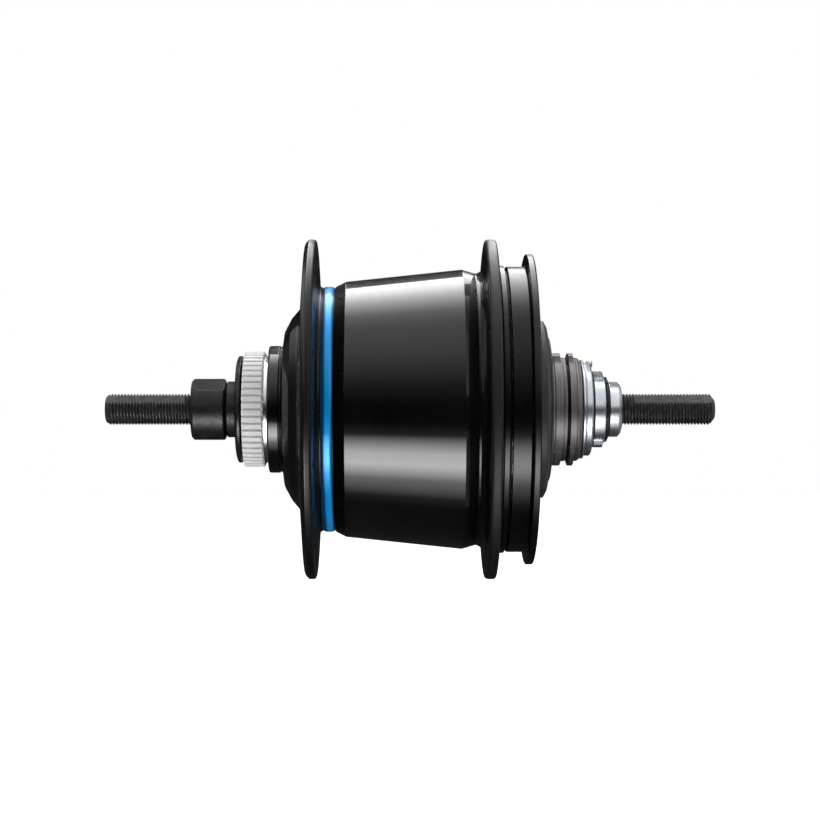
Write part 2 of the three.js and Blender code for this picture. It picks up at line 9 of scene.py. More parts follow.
import bmesh
import bpy
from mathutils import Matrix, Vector


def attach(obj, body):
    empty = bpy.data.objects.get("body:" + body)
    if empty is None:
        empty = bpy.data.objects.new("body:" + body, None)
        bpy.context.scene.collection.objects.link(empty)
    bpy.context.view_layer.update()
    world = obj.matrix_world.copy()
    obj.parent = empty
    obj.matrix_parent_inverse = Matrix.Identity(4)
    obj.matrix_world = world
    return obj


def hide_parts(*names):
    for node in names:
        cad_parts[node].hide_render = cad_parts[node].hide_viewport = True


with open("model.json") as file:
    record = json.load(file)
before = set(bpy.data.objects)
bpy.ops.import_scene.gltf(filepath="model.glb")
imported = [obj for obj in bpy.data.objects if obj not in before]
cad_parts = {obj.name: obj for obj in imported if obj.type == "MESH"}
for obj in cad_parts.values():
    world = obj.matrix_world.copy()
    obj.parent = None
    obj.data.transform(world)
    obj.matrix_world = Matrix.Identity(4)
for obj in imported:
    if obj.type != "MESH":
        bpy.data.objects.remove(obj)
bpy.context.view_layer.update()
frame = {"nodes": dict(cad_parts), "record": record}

MM = 0.001
ROUND = 256                    # segments round a turned piece
FILLET_STEPS = 4
SUPPORT = 0.12                 # width of the strip that keeps flat faces flat beside a fillet
FLATTEST = 0.02                # a corner that turns less than this, in radians, gets no fillet
FILLET_SHARE = 0.42            # most of a side that the fillet at one of its ends may take up
SUPPORT_SHARE = 0.06           # the same for a support strip
SHARP = math.radians(34)
STEP = 0.02                    # length of a wall that stands square to the axle


# ---- camera -------------------------------------------------------------------------------

CAMERA_X = -6.15 * MM
CAMERA_DISTANCE = 640 * MM
LENS = 91.3
SHIFT_X = 0.0244


def make_camera():
    data = bpy.data.cameras.new("camera")
    data.lens = LENS
    data.sensor_width = 36
    data.shift_x = SHIFT_X
    data.clip_start = 0.01
    camera = bpy.data.objects.new("camera", data)
    camera.location = (CAMERA_X, -CAMERA_DISTANCE, -0.0002)
    camera.rotation_euler = (math.pi / 2, 0, 0)
    bpy.context.scene.collection.objects.link(camera)
    bpy.context.scene.camera = camera


# ---- meshes -------------------------------------------------------------------------------

def add_mesh(name, points, faces):
    mesh = bpy.data.meshes.new(name)
    mesh.from_pydata([Vector(p) * MM for p in points], [], faces)
    mesh.validate()
    mesh.update()
    piece = bpy.data.objects.new(name, mesh)
    bpy.context.scene.collection.objects.link(piece)
    return piece


def shade(piece):
    piece.data.shade_smooth()
    piece.data.set_sharp_from_angle(angle=SHARP)
    return piece


def rounded(profile):
    """The profile with an arc at each corner and a short support strip beside each arc."""
    corners = [(Vector(p[:2]), p[2]) for p in profile]
    count = len(corners)
    line = []
    for i, (corner, fillet) in enumerate(corners):
        before = corners[i - 1][0] - corner
        after = corners[(i + 1) % count][0] - corner
        turn = math.pi - before.angle(after)
        if turn < FLATTEST or fillet <= 0:
            line.append(corner)
            continue
        reach = min(fillet * math.tan(turn / 2), FILLET_SHARE * before.length,
                    FILLET_SHARE * after.length)
        start = corner + before.normalized() * reach
        end = corner + after.normalized() * reach
        support = min(SUPPORT, SUPPORT_SHARE * before.length, SUPPORT_SHARE * after.length)
        line.append(start + before.normalized() * support)
        for k in range(FILLET_STEPS + 1):
            t = k / FILLET_STEPS
            line.append(start.lerp(corner, t).lerp(corner.lerp(end, t), t))
        line.append(end + after.normalized() * support)
    return line


def revolved(name, line, limit, segments, closed):
    """A solid of revolution. limit(x, angle, radius) gives the true radius at any angle."""
    points = []
    rings = []
    for x, radius in line:
        if radius == 0:
            rings.append([len(points)])
            points.append((x, 0, 0))
            continue
        ring = []
        for j in range(segments):
            angle = 2 * math.pi * j / segments
            r = limit(x, angle, radius)
            ring.append(len(points))
            points.append((x, r * math.cos(angle), r * math.sin(angle)))
        rings.append(ring)
    faces = []
    pairs = list(zip(rings, rings[1:]))
    if closed:
        pairs.append((rings[-1], rings[0]))
    for a, b in pairs:
        for j in range(segments):
            k = (j + 1) % segments
            if len(a) == 1:
                faces.append((a[0], b[k], b[j]))
            elif len(b) == 1:
                faces.append((a[j], a[k], b[0]))
            else:
                faces.append((a[j], a[k], b[k], b[j]))
    return shade(outward(add_mesh(name, points, faces)))


def round_all_over(x, angle, radius):
    return radius


def turned(name, profile, limit=round_all_over, segments=ROUND):
    """A ring turned from a closed profile, with its corners rounded."""
    return revolved(name, rounded(profile), limit, segments, True)


def outward(piece):
    """Turns the faces outwards if the solid came out inside out."""
    mesh = piece.data
    volume = 0
    for face in mesh.polygons:
        corners = [mesh.vertices[v].co for v in face.vertices]
        for b, c in zip(corners[1:], corners[2:]):
            volume += corners[0].dot(b.cross(c))
    if volume < 0:
        mesh.flip_normals()
    return piece


def cut_away(piece, cutter):
    """Boolean cut, applied at once."""
    modifier = piece.modifiers.new("cut", "BOOLEAN")
    modifier.operation = "DIFFERENCE"
    modifier.solver = "EXACT"
    modifier.object = cutter
    bpy.context.view_layer.update()
    graph = bpy.context.evaluated_depsgraph_get()
    mesh = bpy.data.meshes.new_from_object(piece.evaluated_get(graph))
    piece.modifiers.clear()
    piece.data = mesh
    bpy.data.objects.remove(cutter)
    return shade(piece)


def angle_between(a, b):
    """Smallest angle between two directions, in radians."""
    return abs((a - b + math.pi) % (2 * math.pi) - math.pi)


def clamped(value):
    return min(max(value, 0), 1)


def flat_pair(height, direction):
    """Radius of two opposite flats at a given angle."""
    def radius_at(angle):
        lean = abs(math.cos(angle - math.radians(direction)))
        return height / max(lean, 1e-4)
    return radius_at


# ---- materials ----------------------------------------------------------------------------

NOISE_RANGE = (0.3, 0.7)       # where most of a noise texture's values lie


class Graph:
    """A node tree with helpers that add a node and return its output."""

    def __init__(self, tree):
        self.nodes = tree.nodes
        self.links = tree.links

    def connect(self, value, socket):
        if isinstance(value, (int, float)):
            socket.default_value = value
        else:
            self.links.new(value, socket)

    def math(self, operation, *values):
        node = self.nodes.new("ShaderNodeMath")
        node.operation = operation
        for value, socket in zip(values, node.inputs):
            self.connect(value, socket)
        return node.outputs[0]

    def split(self, vector):
        node = self.nodes.new("ShaderNodeSeparateXYZ")
        self.links.new(vector, node.inputs[0])
        return node.outputs

    def span(self, value, low, high, start=NOISE_RANGE[0], end=NOISE_RANGE[1], kind="LINEAR"):
        """Goes from low to high as the value goes from start to end, and no further."""
        node = self.nodes.new("ShaderNodeMapRange")
        node.interpolation_type = kind
        self.links.new(value, node.inputs["Value"])
        node.inputs["From Min"].default_value = start
        node.inputs["From Max"].default_value = end
        node.inputs["To Min"].default_value = low
        node.inputs["To Max"].default_value = high
        return node.outputs["Result"]


class Finish(Graph):
    """A procedural material with one Principled shader and a few chained helpers."""

    def __init__(self, name, color, roughness, metallic=0.0, **sockets):
        self.material = bpy.data.materials.new(name)
        self.material.use_nodes = True
        super().__init__(self.material.node_tree)
        self.shader = self.nodes["Principled BSDF"]
        self.shader.inputs["Base Color"].default_value = (*color, 1)
        self.shader.inputs["Roughness"].default_value = roughness
        self.shader.inputs["Metallic"].default_value = metallic
        for socket, value in sockets.items():
            self.shader.inputs[socket.replace("_", " ")].default_value = value
        self.place = self.nodes.new("ShaderNodeTexCoord").outputs["Object"]
        self.normal = None
        x, y, z = self.split(self.place)
        squares = self.math("ADD", self.math("MULTIPLY", y, y), self.math("MULTIPLY", z, z))
        self.x = self.math("DIVIDE", x, MM)
        self.radius = self.math("DIVIDE", self.math("SQRT", squares), MM)
        self.turn = self.math("ARCTAN2", z, y)

    def from_x(self, x):
        """Distance along the axle from a given x, in millimetres."""
        return self.math("ABSOLUTE", self.math("ADD", self.x, -x))

    def rings(self, lines_per_mm, round_the_axle=0.0, detail=3.0, roughness=0.55):
        """Noise drawn out into rings, as a lathe tool leaves them."""
        join = self.nodes.new("ShaderNodeCombineXYZ")
        self.connect(self.math("MULTIPLY", self.x, lines_per_mm), join.inputs[0])
        self.connect(self.math("MULTIPLY", self.radius, lines_per_mm), join.inputs[1])
        self.connect(self.math("MULTIPLY", self.turn, round_the_axle), join.inputs[2])
        return self.noise(1, detail, roughness, join.outputs[0])

    def add(self, *values):
        total = values[0]
        for value in values[1:]:
            total = self.math("ADD", total, value)
        return total

    def feed(self, socket, value):
        self.links.new(value, self.shader.inputs[socket])
        return self

    def noise(self, scale, detail=3.0, roughness=0.55, place=None):
        node = self.nodes.new("ShaderNodeTexNoise")
        node.inputs["Scale"].default_value = scale
        node.inputs["Detail"].default_value = detail
        node.inputs["Roughness"].default_value = roughness
        self.links.new(place or self.place, node.inputs["Vector"])
        return node.outputs["Fac"]

    def vary_roughness(self, value, low, high):
        return self.feed("Roughness", self.span(value, low, high))

    def color_ramp(self, value, dark, light):
        ramp = self.nodes.new("ShaderNodeValToRGB")
        for stop, position, color in zip(ramp.color_ramp.elements, NOISE_RANGE, (dark, light)):
            stop.position = position
            stop.color = (*color, 1)
        self.links.new(value, ramp.inputs["Fac"])
        return ramp.outputs["Color"]

    def vary_color(self, value, dark, light):
        return self.feed("Base Color", self.color_ramp(value, dark, light))

    def fade_color(self, mask, first, second):
        """The first color where the mask is 0 and the second where it is 1."""
        node = self.nodes.new("ShaderNodeMix")
        node.data_type = "RGBA"
        self.links.new(mask, node.inputs[0])
        self.links.new(first, node.inputs[6])
        self.links.new(second, node.inputs[7])
        return self.feed("Base Color", node.outputs[2])

    def bump(self, value, height_mm, strength=1.0):
        node = self.nodes.new("ShaderNodeBump")
        node.inputs["Strength"].default_value = strength
        node.inputs["Distance"].default_value = height_mm * MM
        self.links.new(value, node.inputs["Height"])
        if self.normal:
            self.links.new(self.normal, node.inputs["Normal"])
        self.normal = node.outputs["Normal"]
        self.links.new(self.normal, self.shader.inputs["Normal"])
        return self


BARREL_MIDDLE = -1.85          # stations of the hub shell along the axle
BARREL_HALF = 17.5
LEFT_FLANGE_FACE = -28.6
DRUM_GAP = 28.9
DRUM_RADIUS = 43.0
RIM_START = 46.5
BOSS_RADIUS = 20


def gloss_black():
    """Gloss coating on the barrel, thinner and more satin on the parts beside it."""
    f = Finish("gloss_black", (0.002, 0.002, 0.002), 0.3, Coat_Weight=1.0,
               Specular_IOR_Level=0.05)
    f.vary_color(f.noise(60, 4), (0.0010, 0.0010, 0.0013), (0.0030, 0.0030, 0.0034))
    f.vary_roughness(f.noise(350, 5), 0.25, 0.40)
    at_rim = f.span(f.radius, 0, 1, RIM_START, RIM_START + 5)
    from_face = f.from_x(LEFT_FLANGE_FACE)
    gloss_coat_roughness(f, at_rim, from_face)
    gloss_coat_weight(f, at_rim, from_face)
    return f.bump(f.noise(900, 2), 0.004, 0.25).material


def gloss_coat_roughness(f, at_rim, from_face):
    """More satin from the drum's radius outwards, and on the left flange's inner face."""
    speckle = f.span(f.noise(700, 3), 0.03, 0.06)
    drum = f.span(f.radius, 0, 0.18, DRUM_RADIUS, DRUM_RADIUS + 1.1)
    rim = f.math("MULTIPLY", at_rim, f.span(f.x, 0.04, 0.40, -5, 5))
    face = f.span(from_face, 0.24, 0, 1.6, 2.1)
    f.feed("Coat Roughness", f.add(speckle, drum, rim, face))


def gloss_coat_weight(f, at_rim, from_face):
    """Thinner beside the barrel, on the boss and on that inner face, and none in the drum's gap."""
    beside = f.span(f.from_x(BARREL_MIDDLE), 0, 1, BARREL_HALF, BARREL_HALF + 0.5)
    not_left = f.span(f.x, 0, 1, -24.5, -24.0)
    thin = f.math("MULTIPLY", f.math("MULTIPLY", beside, not_left), f.span(at_rim, 1, 0, 0, 1))
    on_boss = f.span(f.radius, 0, 1, BOSS_RADIUS, BOSS_RADIUS + 1)
    boss = f.math("MULTIPLY", f.span(f.x, -0.5, 0, -34.5, -33.5), on_boss)
    gap = f.span(f.from_x(DRUM_GAP), -1, 0, 0.27, 0.32)
    face = f.span(from_face, -0.4, 0, 1.6, 2.1)
    f.feed("Coat Weight", f.add(f.span(thin, 1, 0.48, 0, 1), boss, gap, face))


def satin_black():
    """Fine turned satin, smoother on the outer part of the left dust cap."""
    f = Finish("satin_black", (0.010, 0.010, 0.011), 0.38, Specular_IOR_Level=0.36)
    f.vary_color(f.noise(500, 6), (0.006, 0.006, 0.007), (0.016, 0.016, 0.017))
    cap = f.span(f.radius, 0, -0.14, 12, 13)
    f.feed("Roughness", f.add(f.span(f.noise(900, 4), 0.30, 0.46), cap))
    return f.bump(f.rings(5), 0.006, 0.5).bump(f.noise(2500, 3), 0.006, 0.4).material


def seal_black():
    f = Finish("seal_black", (0.02, 0.02, 0.023), 0.5)
    f.vary_color(f.noise(300, 5), (0.020, 0.020, 0.022), (0.042, 0.041, 0.044))
    rings = f.rings(4)
    f.vary_roughness(rings, 0.42, 0.60)
    return f.bump(rings, 0.006, 0.6).material


def phosphate():
    f = Finish("phosphate", (0.06, 0.06, 0.06), 0.45, 0.6)
    f.vary_color(f.noise(700, 6), (0.026, 0.026, 0.027), (0.085, 0.084, 0.082))
    f.vary_roughness(f.noise(1500, 5), 0.32, 0.58)
    return f.bump(f.noise(4500, 4), 0.010, 0.5).material


def bright_alloy():
    """Dull on the splines and polished on the neck beside them."""
    f = Finish("bright_alloy", (0.80, 0.80, 0.81), 0.22, 0.85, Specular_IOR_Level=0.2)
    rings = f.rings(7, 0.6, 4)
    neck = f.span(f.x, 0, 1, -44.4, -44.3)
    dull = f.color_ramp(rings, (0.70, 0.70, 0.71), (0.86, 0.86, 0.87))
    polished = f.color_ramp(rings, (0.86, 0.86, 0.87), (0.96, 0.96, 0.96))
    f.fade_color(neck, dull, polished)
    f.feed("Metallic", f.span(neck, 0.10, 1, 0, 1))
    f.feed("Roughness", f.add(f.span(rings, 0.42, 0.54), f.span(neck, 0, -0.28, 0, 1)))
    return f.bump(rings, 0.004, 0.5).material


TRIM_RING_MIDDLE = -24.3


def blue_metal():
    """Anodised blue, with painted shade darkening both edges of the ring."""
    f = Finish("blue_metal", (0.01, 0.24, 0.62), 0.3, 0.3, Coat_Weight=0.4, Coat_Roughness=0.06,
               Specular_IOR_Level=0.2)
    rings = f.rings(6, 0.4)
    # Painted shade: the base colour darkens towards both edges, where the rounded sides turn from the
    # light.
    edge_shade_mask = f.span(f.from_x(TRIM_RING_MIDDLE), 0, 1, 0.65, 1.15)
    middle = f.color_ramp(rings, (0.000, 0.31, 0.80), (0.001, 0.40, 0.96))
    painted_edge_shade = f.color_ramp(rings, (0.001, 0.05, 0.16), (0.003, 0.09, 0.24))
    f.fade_color(edge_shade_mask, middle, painted_edge_shade)
    f.vary_roughness(rings, 0.30, 0.42)
    return f.bump(rings, 0.003, 0.4).material


def driver_steel():
    """Turned steel, darkened in the snap ring groove by oil and painted shade."""
    f = Finish("driver_steel", (0.2, 0.18, 0.18), 0.34, 0.9)
    rings = f.rings(4.2, 1.3, 5, 0.7)
    # Oil and painted shade: almost black below a radius of about 15 mm, which takes in the snap ring
    # groove.
    groove = f.span(f.radius, 1, 0, 14.95, 15.3)
    turned_steel = f.color_ramp(rings, (0.09, 0.082, 0.083), (0.31, 0.288, 0.291))
    oil_and_painted_shade = f.color_ramp(rings, (0.004, 0.004, 0.004), (0.012, 0.011, 0.011))
    f.fade_color(groove, turned_steel, oil_and_painted_shade)
    f.vary_roughness(rings, 0.42, 0.62)
    return f.bump(rings, 0.010, 0.6).material


def zinc_plate():
    f = Finish("zinc_plate", (0.66, 0.69, 0.74), 0.3, 0.95)
    f.vary_color(f.noise(260, 4), (0.50, 0.55, 0.62), (0.72, 0.74, 0.76))
    rings = f.rings(5, 1.0)
    f.vary_roughness(rings, 0.22, 0.34)
    return f.bump(rings, 0.004, 0.25).material


def gear_steel():
    f = Finish("gear_steel", (0.35, 0.35, 0.37), 0.32, 1.0)
    f.vary_color(f.noise(400, 5), (0.24, 0.24, 0.25), (0.44, 0.44, 0.46))
    f.vary_roughness(f.noise(1200, 4), 0.24, 0.42)
    return f.bump(f.noise(3000, 3), 0.006, 0.5).material


def bearing_steel():
    f = Finish("bearing_steel", (0.6, 0.61, 0.63), 0.12, 1.0)
    f.vary_color(f.noise(300, 3), (0.52, 0.53, 0.55), (0.66, 0.67, 0.68))
    f.vary_roughness(f.noise(1500, 4), 0.08, 0.2)
    return f.bump(f.noise(2500, 2), 0.002, 0.4).material


MATERIALS = {
    "shell_black": gloss_black(),
    "satin_black": satin_black(),
    "seal_black": seal_black(),
    "phosphate_steel": phosphate(),
    "bright_alloy": bright_alloy(),
    "blue_metal": blue_metal(),
    "driver_steel": driver_steel(),
    "zinc_plate": zinc_plate(),
    "gear_steel": gear_steel(),
    "bearing_steel": bearing_steel(),
}
SLOTS = {row["node"]: row["material_slot"] for row in frame["record"]["subparts"]}
BODIES = {
    node: body
    for body, nodes in frame["record"]["behaviour"]["bodies"].items()
    for node in nodes
}


def dress_cad_nodes():
    for node, piece in frame["nodes"].items():
        piece.data.materials.clear()
        piece.data.materials.append(MATERIALS[SLOTS[node]])


def stands_for(piece, node):
    """Gives the piece its node's material and body, and hides the node."""
    piece.data.materials.clear()
    piece.data.materials.append(MATERIALS[SLOTS[node]])
    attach(piece, BODIES[node])
    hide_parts(node)


def goes_with(piece, body, slot):
    """Gives a material and a body to a piece that adds to one that stands for its node."""
    piece.data.materials.append(MATERIALS[slot])
    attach(piece, body)


# ---- axle ---------------------------------------------------------------------------------

THREAD_PITCH = 25.4 / 26
THREAD_RADIUS = 4.75
THREAD_DEPTH = 0.58
THREAD_ROOT = 0.10             # widths of the flat root and of the flanks, as shares of the pitch
THREAD_FLANKS = 0.66
AXLE_END = 93.5
LEFT_TIP = 3.3                 # radius at the domed left tip
LEFT_TIP_CURVE = 1.45
RIGHT_TIP = 2.9                # radius at the bevelled right tip
RIGHT_TIP_SLOPE = 1.25
AXLE_FLAT = 3.94
AXLE_FLAT_ANGLE = 125
AXLE_FLAT_START = 68.9         # the flats run from here to each end
LEFT_THREAD = (-AXLE_END, -46.0)
RIGHT_THREAD = (60.0, AXLE_END)
THREAD_SAMPLES = 8             # stations along one pitch
AXLE_ROUND = 96
AXLE_MIDDLE = [
    (-45.9, 4.75), (-45.2, 4.75), (-45.18, 6.0), (-20.42, 6.0), (-20.4, 8.0), (-11.4, 8.0),
    (-11.38, 5.3), (59.6, 5.3), (59.62, 4.75), (59.98, 4.75),
]


def thread_radius(x, angle):
    """A thread of about 60 degrees with flat crests and narrow flat roots."""
    phase = (x / THREAD_PITCH - angle / (2 * math.pi)) % 1
    from_root = abs(2 * phase - 1)
    height = clamped((from_root - THREAD_ROOT) / THREAD_FLANKS)
    return THREAD_RADIUS - THREAD_DEPTH * (1 - height)


def axle_radius(x, angle, radius):
    left, right = LEFT_THREAD, RIGHT_THREAD
    threaded = left[0] <= x <= left[1] or right[0] <= x <= right[1]
    if not threaded:
        return radius
    if x < 0:
        tip = LEFT_TIP + math.sqrt(max(0.0, LEFT_TIP_CURVE * (x + AXLE_END)))
    else:
        tip = RIGHT_TIP + RIGHT_TIP_SLOPE * (AXLE_END - x)
    flats = flat_pair(AXLE_FLAT, AXLE_FLAT_ANGLE)(angle)
    if -AXLE_FLAT_START < x < AXLE_FLAT_START:
        flats = THREAD_RADIUS
    return min(thread_radius(x, angle), tip, flats)


def thread_stations(start, end):
    count = int((end - start) * THREAD_SAMPLES / THREAD_PITCH)
    return [(start + (end - start) * i / count, THREAD_RADIUS) for i in range(count + 1)]


def make_axle():
    line = [
        (-AXLE_END, 0), *thread_stations(*LEFT_THREAD), *AXLE_MIDDLE,
        *thread_stations(*RIGHT_THREAD), (AXLE_END, 0),
    ]
    stands_for(revolved("axle_threaded", line, axle_radius, AXLE_ROUND, False), "axle")


# ---- left side ----------------------------------------------------------------------------

NUT_FLAT = 8.5
NUT_FLAT_ANGLE = 116
NUT_FLAT_START = -64.7         # the collar outboard of this is round


def make_left_locknut():
    flats = flat_pair(NUT_FLAT, NUT_FLAT_ANGLE)

    def limit(x, angle, radius):
        return min(radius, flats(angle)) if x > NUT_FLAT_START else radius

    profile = [
        (-66.9, 5.05, 0.2), (-66.9, 8.7, 0.3), (-66.2, 9.4, 0.4), (NUT_FLAT_START - STEP, 9.4, 0),
        (NUT_FLAT_START + STEP, 9.4, 0), (-57.0, 9.4, 0.25), (-56.6, 8.9, 0.2), (-56.3, 7.9, 0.2),
        (-56.3, 5.05, 0.1),
    ]
    stands_for(turned("left_locknut_body", profile, limit), "left_locknut")


def make_left_cone():
    profile = [
        (-56.2, 5.05, 0.1), (-56.2, 8.0, 0.1), (-55.9, 8.6, 0.2), (-53.1, 8.6, 0.1), (-53.1, 7.4, 0.1),
        (-51.2, 7.4, 0.1), (-51.2, 9.9, 0.1), (-50.5, 9.9, 0.1), (-49.7, 8.6, 1.5),
        (-48.2, 7.9, 1.5), (-45.5, 7.5, 0.1), (-45.5, 5.05, 0.1),
    ]
    stands_for(turned("left_cone_body", profile), "left_cone")


def make_left_dust_cap():
    profile = [
        (-53.0, 8.9, 0.1), (-53.0, 15.0, 0.6), (-52.6, 16.2, 0.5), (-52.2, 16.4, 0.3),
        (-51.4, 16.4, 0.15), (-51.4, 7.7, 0.1), (-52.7, 7.7, 0.1), (-52.7, 8.9, 0.05),
    ]
    stands_for(turned("left_dust_cap_body", profile), "left_dust_cap")


SPLINE_TEETH = 52
SPLINE_RADIUS = 17.72
SPLINE_DEPTH = 1.0
SPLINE_GROOVE = 0.2            # half width of a groove, as a share of the tooth pitch
SPLINE_FLANK = 0.09
SPLINE_END = -44.3             # the neck starts here
SPLINE_SAMPLES = 16            # points round one tooth


def make_rotor_mount():
    def limit(x, angle, radius):
        if x > SPLINE_END or radius < 15:
            return radius
        share = (angle * SPLINE_TEETH / (2 * math.pi)) % 1
        from_groove = min(share, 1 - share)
        fall = clamped((SPLINE_GROOVE - from_groove) / SPLINE_FLANK)
        smooth = fall * fall * (3 - 2 * fall)
        return min(radius, SPLINE_RADIUS - SPLINE_DEPTH * smooth)

    profile = [
        (-50.75, 14.6, 0.3), (-50.75, 17.3, 0.15), (-50.35, SPLINE_RADIUS, 0.2),
        (-44.8, SPLINE_RADIUS, 0.25), (SPLINE_END - STEP, 17.2, 0.1),
        (SPLINE_END + STEP, 16.4, 0.1),
        (-43.2, 16.4, 0.1), (-43.2, 15.5, 0.1), (-34, 15.5, 0.1), (-34, 13.2, 0.1),
        (-43.8, 13.2, 0.1), (-43.8, 14.6, 0.1),
    ]
    piece = turned("rotor_mount_spline", profile, limit, SPLINE_TEETH * SPLINE_SAMPLES)
    stands_for(piece, "rotor_mount")


# ---- hub shell ----------------------------------------------------------------------------

FLANGE_RADIUS = 52.1
SPOKES_PER_FLANGE = 18
SPOKE_CIRCLE = 46.3
SPOKE_HOLE = 1.35
SPOKE_MOUTH = 1.95             # radius of the countersink at the face of the flange
# The flanges: middle along the axle, first hole as a share of the spacing, half thickness.
FLANGES = ((-30.2, 0.0, 2.05), (24.4, 0.5, 1.65))
DRILL_SIDES = 24
DRILL_OVERRUN = 0.3            # how far a drill runs past each face


def make_hub_shell():
    profile = [
        (-42.8, 15.8, 0.1), (-42.8, 18.0, 0.1), (-43.1, 18.0, 0.1), (-43.1, 19.5, 0.55),
        (-39.8, 19.5, 0.25), (-39.45, 19.1, 0.15),
        (-39.1, 19.3, 0.15), (-38.75, 20.3, 0.5), (-38.25, 24.0, 1.6), (-36.15, 28.0, 1.8),
        (-33.4, 31.2, 0.8), (-31.9, 50.9, 1.2), (-30.8, FLANGE_RADIUS, 0.7),
        (-28.6, FLANGE_RADIUS, 1.1), (-27.75, 38.6, 0.8), (-27.3, 37.65, 0.3),
        (-26.8, 37.5, 0.1), (-26.8, 36.4, 0.1), (-22.7, 36.4, 0.1), (-22.7, 37.6, 0.15),
        (-19.5, 39.2, 0.5), (15.8, 42.9, 0.5), (20.2, 41.6, 1.6), (21.9, 42.6, 1.6),
        (22.7, 45.0, 2.0), (22.75, FLANGE_RADIUS, 1.1), (26.05, FLANGE_RADIUS, 0.7),
        (26.05, 43.6, 0.3), (26.7, 43.4, 0.1), (26.75, 43.9, 0.1), (27.0, 44.1, 0.1),
        (28.45, 44.1, 0.2), (28.6, 43.7, 0.1), (28.65, 42.6, 0.1), (29.15, 42.6, 0.1),
        (29.15, 39.2, 0.1), (14, 39.2, 0.5), (12, 35, 0.5), (-26, 34.6, 0.5),
        (-33.4, 25, 1.0), (-33.4, 15.8, 0.1),
    ]
    shell = turned("hub_shell_body", profile)
    drills = []
    for centre, phase, reach in FLANGES:
        for i in range(SPOKES_PER_FLANGE):
            turn = 2 * math.pi * (i + phase) / SPOKES_PER_FLANGE
            drills.append((centre, turn, reach))
    cut_away(shell, drill_set(drills))
    stands_for(shell, "hub_shell")


def drill_set(drills):
    """One mesh of many drills, each flaring out at both faces of its flange."""
    points = []
    faces = []
    sides = DRILL_SIDES
    flare = SPOKE_MOUTH - SPOKE_HOLE
    end = SPOKE_MOUTH + DRILL_OVERRUN
    for centre, turn, reach in drills:
        stations = [
            (centre - reach - DRILL_OVERRUN, end), (centre - reach + flare, SPOKE_HOLE),
            (centre + reach - flare, SPOKE_HOLE), (centre + reach + DRILL_OVERRUN, end),
        ]
        first = len(points)
        y = SPOKE_CIRCLE * math.cos(turn)
        z = SPOKE_CIRCLE * math.sin(turn)
        for x, radius in stations:
            for j in range(sides):
                angle = 2 * math.pi * j / sides
                points.append((x, y + radius * math.cos(angle), z + radius * math.sin(angle)))
        for ring in range(len(stations) - 1):
            a = first + ring * sides
            for j in range(sides):
                k = (j + 1) % sides
                faces.append((a + j, a + k, a + sides + k, a + sides + j))
        faces.append(tuple(first + j for j in reversed(range(sides))))
        last = first + (len(stations) - 1) * sides
        faces.append(tuple(last + j for j in range(sides)))
    return outward(add_mesh("drills", points, faces))


RING_SPLIT_HALF = 0.25         # half the width of the split at the back of the trim ring


def make_trim_ring():
    profile = [
        (-26.6, 36.7, 0.1), (-26.6, 37.25, 0.2), (-25.7, 37.65, 0.7), (-23.8, 37.65, 0.7),
        (-22.9, 37.25, 0.2), (-22.9, 36.7, 0.1),
    ]
    ring = turned("trim_ring_body", profile)
    corners = [
        (x, y, z) for x in (-27, -22) for y in (36, 38.5) for z in (-RING_SPLIT_HALF, RING_SPLIT_HALF)
    ]
    sides = [(0, 1, 3, 2), (4, 6, 7, 5), (0, 4, 5, 1), (2, 3, 7, 6), (0, 2, 6, 4), (1, 5, 7, 3)]
    cut_away(ring, outward(add_mesh("slit", corners, sides)))
    stands_for(ring, "trim_ring")


def make_right_dust_cap():
    profile = [
        (29.2, 42.6, 0.1), (29.2, 43.5, 0.1), (29.45, 43.8, 0.15), (34.7, 43.8, 0.3),
        (35.2, 44.4, 0.4), (35.2, 47.6, 0.4), (37.3, 47.6, 0.45), (37.4, 44.0, 0.3),
        (36.9, 42.8, 0.4), (36.9, 29.5, 0.4), (37.4, 28.5, 0.4), (37.4, 21, 0.2),
        (35.2, 21, 0.2), (35.2, 42.6, 0.2),
    ]
    stands_for(turned("right_dust_cap_body", profile), "right_dust_cap")


# ---- driver -------------------------------------------------------------------------------

LUG_CENTRES = (math.radians(80), math.radians(260))
LUG_HALF = math.radians(33)
LUG_FLANK = math.radians(2.5)
LUG_RADIUS = 17.3
DRIVER_RADIUS = 15.95
GROOVE_RADIUS = 14.9
LUG_1 = (43.0, 45.8)
LUG_1_GROOVE = (43.57, 43.83)
LUG_2 = (47.5, 49.7)
SNAP_RING_GROOVE = (47.3, 48.3)
LUG_2_RAMP = 0.5               # length over which the second lug rises
DRIVER_ROUND = 288


